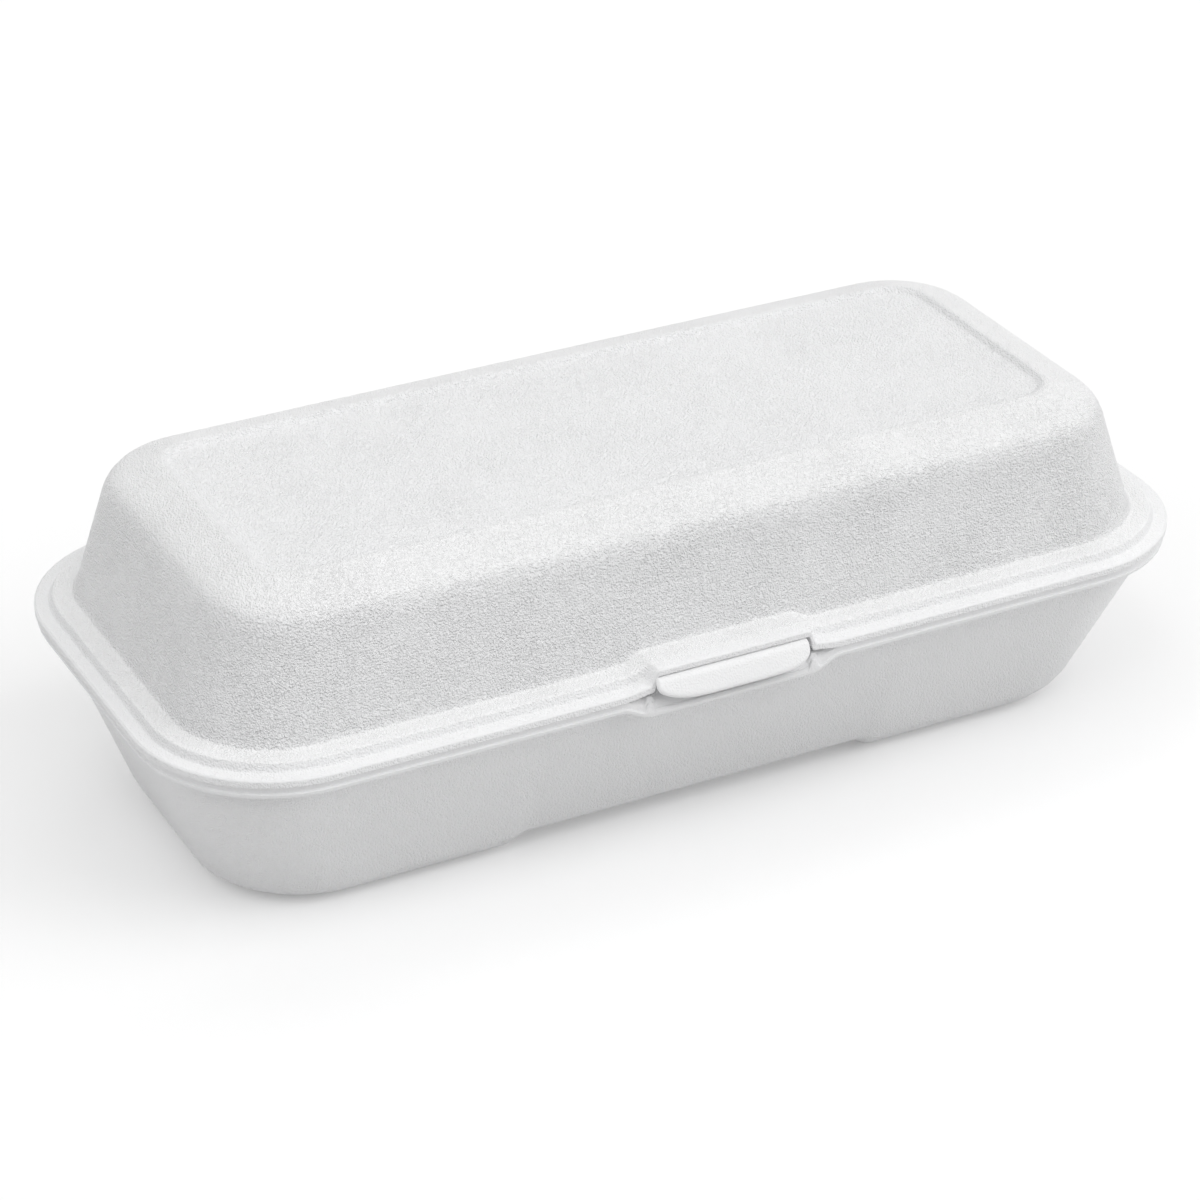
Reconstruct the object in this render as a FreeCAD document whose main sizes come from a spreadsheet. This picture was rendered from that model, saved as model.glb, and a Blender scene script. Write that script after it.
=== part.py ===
import FreeCAD, Part
import Sketcher
import math
import os
import re
from FreeCAD import Vector

# Hinged foam clamshell container, closed.
# Millimetres, +Z up, long side along X, latch on the -Y side.
# The origin is on the floor below the middle of the rim.

doc = FreeCAD.newDocument("Clamshell")

sizeTable = [
    ("rim_length", 248.0, "rim, over its outer edge"),
    ("rim_width", 115.5, "rim, over its outer edge"),
    ("rim_corner", 31.5, "corner radius of the rim's outer edge"),
    ("rim_height", 45.0, "floor to the top of the lid's flange"),
    ("foam_wall", 2.0, "thickness of the foam in walls and panels"),
    ("lid_flange", 1.8, "thickness of the lid's flange"),
    ("base_flange", 2.0, "thickness of the base's flange"),
    ("flange_gap", 0.6, "air between the two flanges"),
    ("flange_setback", 0.5, "base flange edge behind the lid flange edge"),
    ("edge_bevel", 0.4, "bevel along the flange edges"),
    ("ledge_width", 3.9, "outer ledge, flange edge to the foot of the step"),
    ("step_rise", 1.9, "height of the step in the lid's rim"),
    ("step_bevel", 0.8, "bevel along the top of the step"),
    ("step_wall", 1.3, "thickness of the step where it leaves the flange"),
    ("dome_setback", 8.9, "flange edge to the foot of the dome"),
    ("dome_height", 77.6, "floor to the highest part of the lid"),
    ("dome_end", 18.2, "flange edge to the top of the dome's end walls, before rounding"),
    ("dome_side", 13.7, "flange edge to the top of the dome's side walls, before rounding"),
    ("dome_tighten", 11.0, "rim corner radius less the dome's upright corner radius"),
    ("crown_round", 13.2, "rounding between the dome's walls and top"),
    ("panel_end", 28.8, "flange edge to the recessed panel, at the ends"),
    ("panel_side", 25.5, "flange edge to the recessed panel, at the sides"),
    ("panel_corner", 8.5, "corner radius of the recessed panel"),
    ("panel_depth", 1.0, "depth of the recessed panel"),
    ("panel_bevel", 0.8, "slope around the recessed panel"),
    ("bowl_setback", 3.9, "flange edge to the bowl wall under the flange"),
    ("foot_end", 17.4, "flange edge to the bowl's bottom, at the ends"),
    ("foot_side", 20.0, "flange edge to the bowl's bottom, at the sides"),
    ("bowl_tighten", 7.5, "rim corner radius less the bowl's upright corner radius"),
    ("foot_round", 10.5, "rounding between bowl wall and bottom"),
    ("arch_height", 3.2, "rise of the bottom between the two feet"),
    ("arch_span", 82.0, "length of the raised bottom"),
    ("arch_ramp", 4.5, "length of the slope down to each foot"),
    ("band_height", 3.9, "thicker band of the bowl wall below the flange"),
    ("bead_clear", 0.4, "bead of the base to the step of the lid"),
    ("bead_width", 2.0, "width of the bead at its foot"),
    ("bead_bevel", 0.6, "bevel along the outside of the bead"),
    ("bead_rise", 1.9, "bead top above the base's flange"),
    ("latch_width", 37.0, "opening under the hood"),
    ("hood_rise", 4.2, "hood top above the lid's flange"),
    ("hood_thick", 1.5, "thickness of the hood's shelf"),
    ("hood_cheek", 1.1, "hood top beyond the opening, each side"),
    ("hood_ramp", 3.0, "run of the hood's sloping sides"),
    ("tongue_gap", 0.5, "tongue side to the opening's side"),
    ("tongue_thick", 1.6, "thickness of the tongue"),
    ("tongue_reach", 2.4, "tongue tip beyond the rim's edge"),
    ("tongue_drop", 2.6, "lid's flange top down to the tongue's tip"),
    ("tongue_knee", 1.6, "highest line of the tongue behind the rim's edge"),
    ("tongue_clear", 0.5, "air between the tongue and the hood above it"),
    ("tongue_round", 5.5, "corner radius of the tongue in plan"),
    ("dip_depth", 2.5, "how far the base's flange dips at the latch"),
    ("dip_width", 43.0, "length of the dipped flange"),
    ("dip_ramp", 4.5, "run of the slopes beside the dip"),
    ("hinge_length", 176.0, "length of the living hinge"),
    ("hinge_film", 0.6, "thickness of the creased foam in the hinge"),
]

sheet = doc.addObject("Spreadsheet::Sheet", "Sizes")
for row, (name, number, note) in enumerate(sizeTable, start=1):
    sheet.set("A%d" % row, name)
    sheet.set("B%d" % row, str(number))
    sheet.set("C%d" % row, note)
    sheet.setAlias("B%d" % row, name)
doc.recompute()

size = {name: sheet.get(name) for name, number, note in sizeTable}


def bound(formula):
    # A formula over the sizes, in the form the document's expressions take
    return re.sub(r"[a-z_]+", lambda m: "Sizes." + m.group() if m.group() in size else m.group(), formula)


def measure(formula):
    # The value that a formula has now
    return float(sheet.evalExpression(bound(formula)))


# Levels and thicknesses that several features share
lidUnder = "(rim_height - lid_flange)"
baseTop = "(rim_height - lid_flange - flange_gap)"
baseUnder = "(rim_height - lid_flange - flange_gap - base_flange)"
stepTop = "(rim_height + step_rise)"
hoodTop = "(rim_height + hood_rise)"
stepInside = "(ledge_width + step_wall)"
beadFoot = "(ledge_width + step_wall + bead_clear)"
beadInside = "(ledge_width + step_wall + bead_clear + bead_width)"
beadTop = "(rim_height - lid_flange - flange_gap + bead_rise)"
endLean = "((foot_end - bowl_setback) / " + baseUnder + ")"
domeRise = "(dome_height - rim_height - step_rise)"
domeLowEnd = "dome_setback - (dome_end - dome_setback) / " + domeRise + " * (step_rise + lid_flange)"
domeLowSide = "dome_setback - (dome_side - dome_setback) / " + domeRise + " * (step_rise + lid_flange)"
sideLean = "((foot_side - bowl_setback) / " + baseUnder + ")"
halfWidth = "(rim_width / 2)"


def body(name):
    return doc.addObject("PartDesign::Body", name)


def sketchOn(owner, name, plane, offset):
    # A sketch on one of the body's own planes, moved along that plane's normal
    sketch = owner.newObject("Sketcher::SketchObject", name)
    support = [item for item in owner.Origin.OriginFeatures if item.Role == plane]
    sketch.AttachmentSupport = [(support[0], "")]
    sketch.MapMode = "FlatFace"
    sketch.setExpression("AttachmentOffset.Base.z", bound(offset))
    return sketch


def dimension(sketch, index, name, formula):
    sketch.renameConstraint(index, name)
    sketch.setExpression("Constraints." + name, bound(formula))


def ring(owner, name, level, endInset, sideInset, corner):
    # A rounded rectangle at a level, its ends and sides set back from the rim's edge
    sketch = sketchOn(owner, name, "XY_Plane", level)
    spanX = "rim_length - 2 * (" + endInset + ") - 2 * (" + corner + ")"
    spanY = "rim_width - 2 * (" + sideInset + ") - 2 * (" + corner + ")"
    a = measure(spanX) / 2
    b = measure(spanY) / 2
    r = measure(corner)
    up = Vector(0, 0, 1)
    corners = [(a, -b, -90), (a, b, 0), (-a, b, 90), (-a, -b, 180)]
    sides = [(-a, -b - r, a, -b - r), (a + r, -b, a + r, b), (a, b + r, -a, b + r), (-a - r, b, -a - r, -b)]
    for (x1, y1, x2, y2), (cx, cy, start) in zip(sides, corners):
        sketch.addGeometry(Part.LineSegment(Vector(x1, y1, 0), Vector(x2, y2, 0)), False)
        circle = Part.Circle(Vector(cx, cy, 0), up, r)
        arc = Part.ArcOfCircle(circle, math.radians(start), math.radians(start + 90))
        sketch.addGeometry(arc, False)
    for index in range(8):
        sketch.addConstraint(Sketcher.Constraint("Tangent", index, 2, (index + 1) % 8, 1))
    for index, direction in ((0, "Horizontal"), (2, "Vertical"), (4, "Horizontal"), (6, "Vertical")):
        sketch.addConstraint(Sketcher.Constraint(direction, index))
    for index in (3, 5, 7):
        sketch.addConstraint(Sketcher.Constraint("Equal", 1, index))
    sketch.addConstraint(Sketcher.Constraint("Symmetric", 1, 3, 5, 3, -1, 1))
    across = sketch.addConstraint(Sketcher.Constraint("DistanceX", 0, 1, 0, 2, 2 * a))
    along = sketch.addConstraint(Sketcher.Constraint("DistanceY", 2, 1, 2, 2, 2 * b))
    radius = sketch.addConstraint(Sketcher.Constraint("Radius", 1, r))
    dimension(sketch, across, "straightX", spanX)
    dimension(sketch, along, "straightY", spanY)
    dimension(sketch, radius, "corner", corner)
    return sketch


def rimRing(owner, name, level, inset):
    # A ring that runs parallel to the rim's outer edge
    return ring(owner, name, level, inset, inset, "rim_corner - (" + inset + ")")


def outline(owner, name, plane, offset, points):
    # A closed polygon, each corner held by its two coordinates
    sketch = sketchOn(owner, name, plane, offset)
    places = [Vector(measure(x), measure(y), 0) for x, y in points]
    count = len(points)
    for index in range(count):
        sketch.addGeometry(Part.LineSegment(places[index], places[(index + 1) % count]), False)
    for index in range(count):
        sketch.addConstraint(Sketcher.Constraint("Coincident", index, 2, (index + 1) % count, 1))
    for index, (x, y) in enumerate(points):
        across = sketch.addConstraint(Sketcher.Constraint("DistanceX", -1, 1, index, 1, places[index].x))
        above = sketch.addConstraint(Sketcher.Constraint("DistanceY", -1, 1, index, 1, places[index].y))
        dimension(sketch, across, "x%d" % index, x)
        dimension(sketch, above, "y%d" % index, y)
    return sketch


def extrude(owner, kind, name, sketch, length, midplane=False, backwards=False):
    feature = owner.newObject("PartDesign::" + kind, name)
    feature.Profile = sketch
    feature.Midplane = midplane
    feature.Reversed = backwards
    feature.setExpression("Length", bound(length))
    doc.recompute()
    return feature


def frustum(owner, name, low, high, lowEnd, lowSide, highEnd, highSide):
    # A block with leaning sides between two levels, set back from the rim's edge at each
    block = owner.newObject("PartDesign::AdditiveWedge", name)
    support = [item for item in owner.Origin.OriginFeatures if item.Role == "XZ_Plane"]
    block.AttachmentSupport = [(support[0], "")]
    block.MapMode = "FlatFace"
    places = {"Ymin": low, "Ymax": high}
    places["Xmax"] = "rim_length / 2 - (" + lowEnd + ")"
    places["Zmax"] = "rim_width / 2 - (" + lowSide + ")"
    places["X2max"] = "rim_length / 2 - (" + highEnd + ")"
    places["Z2max"] = "rim_width / 2 - (" + highSide + ")"
    for key in ("Xmax", "Zmax", "X2max", "Z2max"):
        places[key.replace("max", "min")] = "-(" + places[key] + ")"
    for key, formula in places.items():
        setattr(block, key, measure(formula))
    for key, formula in places.items():
        block.setExpression(key, bound(formula))
    doc.recompute()
    return block


def inset(point):
    # How far a point lies inside the rim's outer edge, seen from above
    r = size["rim_corner"]
    dx = abs(point.x) - size["rim_length"] / 2 + r
    dy = abs(point.y) - size["rim_width"] / 2 + r
    if dx > 0 and dy > 0:
        return r - math.hypot(dx, dy)
    return r - max(dx, dy)


def middle(edge):
    first, last = edge.ParameterRange
    return edge.valueAt((first + last) / 2)


def edgesWhere(feature, test):
    # Names of the edges whose ends and middle all pass a test
    names = []
    for index, edge in enumerate(feature.Shape.Edges, start=1):
        places = [vertex.Point for vertex in edge.Vertexes] + [middle(edge)]
        if all(test(place) for place in places):
            names.append("Edge%d" % index)
    return names


def loopAt(feature, level, near, far):
    # The level edges at a height, between two distances from the rim's edge
    z = measure(level)
    return edgesWhere(feature, lambda p: abs(p.z - z) < 0.01 and near < inset(p) < far)


def uprightEdges(feature):
    # The slanting edges where two walls of a block meet
    names = []
    for index, edge in enumerate(feature.Shape.Edges, start=1):
        heights = [vertex.Point.z for vertex in edge.Vertexes]
        if max(heights) - min(heights) > 1:
            names.append("Edge%d" % index)
    return names


def bevelEdges(owner, name, feature, width, names):
    bevel = owner.newObject("PartDesign::Chamfer", name)
    bevel.Base = (feature, names)
    bevel.setExpression("Size", bound(width))
    doc.recompute()
    return bevel


def roundEdges(owner, name, feature, radius, names):
    fillet = owner.newObject("PartDesign::Fillet", name)
    fillet.Base = (feature, names)
    fillet.setExpression("Radius", bound(radius))
    doc.recompute()
    return fillet


# Base, outside: bowl with rounded bottom and two feet

everywhere = size["rim_width"]
tray = body("TrayOutside")
bowl = frustum(tray, "Bowl", "0", baseUnder, "foot_end", "foot_side", "bowl_setback", "bowl_setback")
bowlCorners = roundEdges(tray, "BowlCorners", bowl, "rim_corner - bowl_tighten", uprightEdges(bowl))
bowlRound = roundEdges(tray, "BowlRound", bowlCorners, "foot_round",
                       loopAt(bowlCorners, "0", 0, everywhere))
archOutline = outline(tray, "ArchOutline", "XZ_Plane", "0", [
    ("-arch_span / 2 - arch_ramp", "0"),
    ("arch_span / 2 + arch_ramp", "0"),
    ("arch_span / 2", "arch_height"),
    ("-arch_span / 2", "arch_height"),
])
arch = extrude(tray, "Pocket", "Arch", archOutline, "rim_width", midplane=True)

# Base, outside: flange, raised bead and the dip below the latch

flangeEdge = rimRing(tray, "BaseFlangeEdge", baseUnder, "flange_setback")
baseFlange = extrude(tray, "Pad", "BaseFlange", flangeEdge, "base_flange")
edge = size["flange_setback"] + 0.05
baseFlangeBevel = bevelEdges(tray, "BaseFlangeBevel", baseFlange, "edge_bevel",
                             loopAt(baseFlange, baseUnder, 0, edge) + loopAt(baseFlange, baseTop, 0, edge))
beadEdge = rimRing(tray, "BeadEdge", baseTop, beadFoot)
bead = extrude(tray, "Pad", "Bead", beadEdge, "bead_rise")
beadBevel = bevelEdges(tray, "BeadBevel", bead, "bead_bevel", loopAt(bead, beadTop, 0, everywhere))

dipTop = [("-dip_width / 2 - dip_ramp", baseTop), ("-dip_width / 2", baseTop + " - dip_depth")]
dipTop += [("dip_width / 2", baseTop + " - dip_depth"), ("dip_width / 2 + dip_ramp", baseTop)]
dipUnder = [(x, z + " - base_flange") for x, z in reversed(dipTop)]
dipStrip = outline(tray, "DipStripOutline", "XZ_Plane", halfWidth + " - flange_setback", dipTop + dipUnder)
dipOpening = outline(tray, "DipOpeningOutline", "XZ_Plane", halfWidth, dipTop)
dipCut = extrude(tray, "Pocket", "DipOpening", dipOpening, beadFoot + " - bead_clear")
dip = extrude(tray, "Pad", "DipStrip", dipStrip, beadFoot + " - flange_setback", backwards=True)

# Base, outside: the tongue springs from the bead, rises to a knee close below the hood
# and slopes down outside the rim

tongueRoot = halfWidth + " - " + beadFoot + " - bead_bevel - 0.3 * bead_width"
tongueTip = halfWidth + " + tongue_reach"
tongueLevel = "(rim_height - tongue_drop)"
kneeReach = "(" + halfWidth + " - tongue_knee)"
kneeLevel = "(" + hoodTop + " - hood_thick - tongue_clear)"
tongueFall = "(" + kneeLevel + " - " + tongueLevel + ")"
tongueRun = "(tongue_reach + tongue_knee)"
tongueSlant = "sqrt(" + tongueFall + " ^ 2 + " + tongueRun + " ^ 2)"
tongueOutline = outline(tray, "TongueOutline", "YZ_Plane", "0", [
    ("-(" + tongueTip + ")", tongueLevel),
    ("-(" + tongueTip + ") + tongue_thick * " + tongueFall + " / " + tongueSlant,
     tongueLevel + " - tongue_thick * " + tongueRun + " / " + tongueSlant),
    ("-" + kneeReach + " + 0.4 * tongue_thick", kneeLevel + " - 1.2 * tongue_thick"),
    ("-(" + tongueRoot + ")", beadTop + " - tongue_thick"),
    ("-(" + tongueRoot + ")", beadTop),
    ("-" + kneeReach, kneeLevel),
])
tongue = extrude(tray, "Pad", "Tongue", tongueOutline, "latch_width - 2 * tongue_gap", midplane=True)
tip = measure(tongueTip)
tipCorners = edgesWhere(tongue, lambda p: p.y < size["tongue_thick"] - tip and abs(p.x) > size["latch_width"] / 4)
tongueRound = roundEdges(tray, "TongueRound", tongue, "tongue_round", tipCorners)

# Base, inside: the food space, with a thicker band behind the flange

food = body("TrayInside")
bandLevel = "(" + baseUnder + " - band_height)"
bandEnd = "bowl_setback + band_height * " + endLean + " + foam_wall * sqrt(1 + " + endLean + " ^ 2)"
bandSide = "bowl_setback + band_height * " + sideLean + " + foam_wall * sqrt(1 + " + sideLean + " ^ 2)"
floorEnd = "foot_end + foam_wall * (sqrt(1 + " + endLean + " ^ 2) - " + endLean + ")"
floorSide = "foot_side + foam_wall * (sqrt(1 + " + sideLean + " ^ 2) - " + sideLean + ")"
hollow = frustum(food, "Hollow", "foam_wall", bandLevel, floorEnd, floorSide, bandEnd, bandSide)
hollowCorners = roundEdges(food, "HollowCorners", hollow, "rim_corner - bowl_tighten - foam_wall",
                           uprightEdges(hollow))
hollowRound = roundEdges(food, "HollowRound", hollowCorners, "foot_round - foam_wall",
                         loopAt(hollowCorners, "foam_wall", 0, everywhere))
mouthEdge = rimRing(food, "MouthEdge", bandLevel, beadInside)
mouth = extrude(food, "Pad", "Mouth", mouthEdge, beadTop + " - " + bandLevel)
bumpOutline = outline(food, "BumpOutline", "XZ_Plane", "0", [
    ("-arch_span / 2 - arch_ramp - 0.3 * foam_wall", "foam_wall"),
    ("arch_span / 2 + arch_ramp + 0.3 * foam_wall", "foam_wall"),
    ("arch_span / 2 + 0.3 * foam_wall", "foam_wall + arch_height"),
    ("-arch_span / 2 - 0.3 * foam_wall", "foam_wall + arch_height"),
])
bump = extrude(food, "Pocket", "Bump", bumpOutline, "rim_width", midplane=True)

base = doc.addObject("Part::Cut", "base")
base.Base = tray
base.Tool = food
doc.recompute()

# Lid, outside: dome with a recessed panel, standing on a stepped flange

cover = body("LidOutside")
dome = frustum(cover, "Dome", lidUnder, "dome_height", domeLowEnd, domeLowSide, "dome_end", "dome_side")
domeCorners = roundEdges(cover, "DomeCorners", dome, "rim_corner - dome_tighten", uprightEdges(dome))
crown = roundEdges(cover, "Crown", domeCorners, "crown_round",
                   loopAt(domeCorners, "dome_height", 0, everywhere))
panelEdge = ring(cover, "PanelEdge", "dome_height", "panel_end + panel_bevel", "panel_side + panel_bevel",
                 "panel_corner - panel_bevel")
panel = extrude(cover, "Pocket", "Panel", panelEdge, "panel_depth")
panelBevel = bevelEdges(cover, "PanelBevel", panel, "panel_bevel",
                        loopAt(panel, "dome_height", size["panel_side"] - 0.1, everywhere))
lidFlangeEdge = rimRing(cover, "LidFlangeEdge", lidUnder, "0")
lidFlange = extrude(cover, "Pad", "LidFlange", lidFlangeEdge, "lid_flange")
flangeRims = loopAt(lidFlange, lidUnder, -1, 0.05) + loopAt(lidFlange, "rim_height", -1, 0.05)
lidFlangeBevel = bevelEdges(cover, "LidFlangeBevel", lidFlange, "edge_bevel", flangeRims)
stepEdge = rimRing(cover, "StepEdge", "rim_height", "ledge_width")
step = extrude(cover, "Pad", "Step", stepEdge, "step_rise")
stepOuter = size["ledge_width"] + 0.05
stepBevel = bevelEdges(cover, "StepBevel", step, "step_bevel", loopAt(step, stepTop, 0, stepOuter))

# Lid, outside: the hood over the latch, open underneath

hoodHalf = "(latch_width / 2 + hood_cheek)"
hoodOutline = outline(cover, "HoodOutline", "XZ_Plane", halfWidth, [
    ("-" + hoodHalf + " - hood_ramp", lidUnder + " + 0.5 * lid_flange"),
    (hoodHalf + " + hood_ramp", lidUnder + " + 0.5 * lid_flange"),
    (hoodHalf, hoodTop),
    ("-" + hoodHalf, hoodTop),
])
hood = extrude(cover, "Pad", "Hood", hoodOutline, "dome_setback + foam_wall", backwards=True)
openingOutline = outline(cover, "LatchOpeningOutline", "XZ_Plane", halfWidth, [
    ("-latch_width / 2", lidUnder),
    ("latch_width / 2", lidUnder),
    ("latch_width / 2", hoodTop + " - hood_thick"),
    ("-latch_width / 2", hoodTop + " - hood_thick"),
])
opening = extrude(cover, "Pocket", "LatchOpening", openingOutline, "dome_setback + 2 * foam_wall")

# Lid, inside: hollow under the step and hollow under the dome

inner = body("LidInside")
innerDome = frustum(inner, "InnerDome", lidUnder, "dome_height - foam_wall", domeLowEnd + " + foam_wall",
                    domeLowSide + " + foam_wall", "dome_end + foam_wall", "dome_side + foam_wall")
innerCorners = roundEdges(inner, "InnerCorners", innerDome, "rim_corner - dome_tighten - foam_wall",
                          uprightEdges(innerDome))
innerCrown = roundEdges(inner, "InnerCrown", innerCorners, "crown_round - foam_wall",
                        loopAt(innerCorners, "dome_height - foam_wall", 0, everywhere))
innerPanelEdge = ring(inner, "InnerPanelEdge", "dome_height - foam_wall", "panel_end + panel_bevel",
                      "panel_side + panel_bevel", "panel_corner - panel_bevel")
innerPanel = extrude(inner, "Pocket", "InnerPanel", innerPanelEdge, "panel_depth")
recessEdge = rimRing(inner, "RecessEdge", lidUnder, stepInside)
recess = extrude(inner, "Pad", "Recess", recessEdge, "step_rise")

lid = doc.addObject("Part::Cut", "lid")
lid.Base = cover
lid.Tool = inner
doc.recompute()

# Living hinge: a thin strip creased into a half round between the two flanges at the back

lidMiddle = "(rim_height - lid_flange / 2)"
baseMiddle = "(rim_height - lid_flange - flange_gap - base_flange / 2)"
creaseRadius = "((lid_flange / 2 + flange_gap + base_flange / 2) / 2)"
strip = body("hinge_strip")
profile = sketchOn(strip, "StripProfile", "YZ_Plane", "0")
back = measure(halfWidth)
seat = back - size["flange_setback"]
height = (measure(lidMiddle) + measure(baseMiddle)) / 2
crease = measure(creaseRadius)
half = size["hinge_film"] / 2
outer = Part.Circle(Vector(back, height, 0), Vector(0, 0, 1), crease + half)
inward = Part.Circle(Vector(back, height, 0), Vector(0, 0, 1), crease - half)
profile.addGeometry(Part.ArcOfCircle(outer, -math.pi / 2, math.pi / 2), False)
profile.addGeometry(Part.LineSegment(Vector(back, height + crease + half, 0),
                                     Vector(back, height + crease - half, 0)), False)
profile.addGeometry(Part.ArcOfCircle(inward, -math.pi / 2, math.pi / 2), False)
profile.addGeometry(Part.LineSegment(Vector(back, height - crease + half, 0),
                                     Vector(seat, height - crease + half, 0)), False)
profile.addGeometry(Part.LineSegment(Vector(seat, height - crease + half, 0),
                                     Vector(seat, height - crease - half, 0)), False)
profile.addGeometry(Part.LineSegment(Vector(seat, height - crease - half, 0),
                                     Vector(back, height - crease - half, 0)), False)
for first, second in (((0, 2), (1, 1)), ((1, 2), (2, 2)), ((2, 1), (3, 1)), ((3, 2), (4, 1)),
                      ((4, 2), (5, 1)), ((5, 2), (0, 1)), ((0, 3), (2, 3))):
    profile.addConstraint(Sketcher.Constraint("Coincident", *first, *second))
for arc in (0, 2):
    for end in (1, 2):
        profile.addConstraint(Sketcher.Constraint("Vertical", arc, end, arc, 3))
for line, direction in ((3, "Horizontal"), (4, "Vertical"), (5, "Horizontal")):
    profile.addConstraint(Sketcher.Constraint(direction, line))
creaseY = profile.addConstraint(Sketcher.Constraint("DistanceX", -1, 1, 0, 3, back))
creaseZ = profile.addConstraint(Sketcher.Constraint("DistanceY", -1, 1, 0, 3, height))
outerRadius = profile.addConstraint(Sketcher.Constraint("Radius", 0, crease + half))
innerRadius = profile.addConstraint(Sketcher.Constraint("Radius", 2, crease - half))
leg = profile.addConstraint(Sketcher.Constraint("DistanceX", 3, 2, 3, 1, back - seat))
dimension(profile, creaseY, "creaseY", halfWidth)
dimension(profile, creaseZ, "creaseZ", "(" + lidMiddle + " + " + baseMiddle + ") / 2")
dimension(profile, outerRadius, "outerRadius", creaseRadius + " + hinge_film / 2")
dimension(profile, innerRadius, "innerRadius", creaseRadius + " - hinge_film / 2")
dimension(profile, leg, "leg", "flange_setback")
hinge = extrude(strip, "Pad", "Strip", profile, "hinge_length", midplane=True)

os.makedirs("parts", exist_ok=True)
doc.recompute()
for item in doc.Objects:
    if "Invalid" in item.State or "Error" in item.State:
        raise ValueError("%s is not built: %s" % (item.Name, item.State))
for part, label in ((base, "base"), (lid, "lid"), (strip, "hinge_strip")):
    part.Label = label
    if part.Shape.isNull() or not part.Shape.isValid() or len(part.Shape.Solids) != 1:
        raise ValueError(label + " is not one sound solid")
    part.Shape.exportStep("parts/%s.step" % label)
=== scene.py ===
import bpy
import math
from mathutils import Matrix, Vector


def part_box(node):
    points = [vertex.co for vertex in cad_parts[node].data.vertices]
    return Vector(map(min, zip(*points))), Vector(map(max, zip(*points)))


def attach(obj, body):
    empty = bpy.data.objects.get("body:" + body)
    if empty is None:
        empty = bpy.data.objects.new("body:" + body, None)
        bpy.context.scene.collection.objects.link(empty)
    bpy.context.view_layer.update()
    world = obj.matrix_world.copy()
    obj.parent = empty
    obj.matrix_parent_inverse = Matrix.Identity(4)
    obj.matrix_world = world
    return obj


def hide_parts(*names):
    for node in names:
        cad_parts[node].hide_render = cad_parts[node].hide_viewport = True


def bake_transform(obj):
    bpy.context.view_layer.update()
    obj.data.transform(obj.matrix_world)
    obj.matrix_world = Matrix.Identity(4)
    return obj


# Hinged foam clamshell on a white studio floor, in metres.
# Insets are measured inwards from the rim's outer edge, seen from above.
# Full and None are the half lengths within which a change is complete, and beyond which there is none.

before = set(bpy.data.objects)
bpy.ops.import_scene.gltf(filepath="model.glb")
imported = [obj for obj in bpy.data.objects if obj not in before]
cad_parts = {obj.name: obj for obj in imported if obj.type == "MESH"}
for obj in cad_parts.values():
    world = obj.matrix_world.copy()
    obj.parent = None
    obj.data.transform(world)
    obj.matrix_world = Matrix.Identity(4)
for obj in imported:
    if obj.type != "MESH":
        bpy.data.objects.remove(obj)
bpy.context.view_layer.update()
lidLow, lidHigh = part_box("lid")
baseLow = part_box("base")[0]
hingeLow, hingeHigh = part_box("hinge_strip")
print("frame loaded")

rim = {
    "halfLength": lidHigh[0],
    "halfWidth": -lidLow[1],
    "corner": 0.0315,       # corner radius of the outer edge
    "lidUnder": lidLow[2],  # underside of the lid's lip
    "top": 0.045,           # top of the lid's lip
    "bow": 0.0006,          # how far the long sides bulge at their middle
}

latch = {
    "centre": -0.0014,      # the latch sits a little left of the middle
    "hoodTop": 0.0492, "hoodThick": 0.0015,
    "shelfFull": 0.0172, "shelfNone": 0.0240,      # the hood where it meets the dome
    "hoodFull": 0.0179, "hoodNone": 0.0200,        # its steep sides at the lip's top
    "openingFull": 0.0181, "openingNone": 0.0192,  # the opening under it
    "flareShare": 0.21, "flareFull": 0.0185, "flareNone": 0.0262,  # the lip rises gently towards it
    "backStart": 0.0020, "backEnd": 0.0060,        # insets over which lip turns into shelf
    "domeFade": 0.062,      # height at which the dome no longer knows of the hood
    "dip": 0.0026, "dipFull": 0.0193, "dipNone": 0.0264,  # the base's flange drops under the hood
    "scoopFull": 0.0007, "scoopNone": 0.0025,      # insets of the flange's scooped edge
    "rampFoot": 0.0008, "rampLow": 0.0402, "rampSlope": 0.95,  # inside it a ramp rises to the bead
    "rampFull": 0.0203, "rampNone": 0.0218, "rampDrop": 0.0004,
    "post": 0.0197, "postFull": 0.0004, "postNone": 0.0015,  # a ridge stands at each end of the ramp
}
hair = 0.00001     # takes up rounding where heights are compared
roundShare = 0.48  # the part of a side that one rounding may take


def smooth(start, end, value):
    t = min(max((value - start) / (end - start), 0.0), 1.0)
    return t * t * (3 - 2 * t)


def hat(x, full, none):
    # 1 within +-full, 0 beyond +-none, with a soft slope between
    return 1 - smooth(full, none, abs(x))


def between(table, value):
    # straight-line reading of a short table of pairs
    for (a, low), (b, high) in zip(table, table[1:]):
        if value <= b:
            return low + (high - low) * max(value - a, 0.0) / (b - a)
    return table[-1][1]


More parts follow.
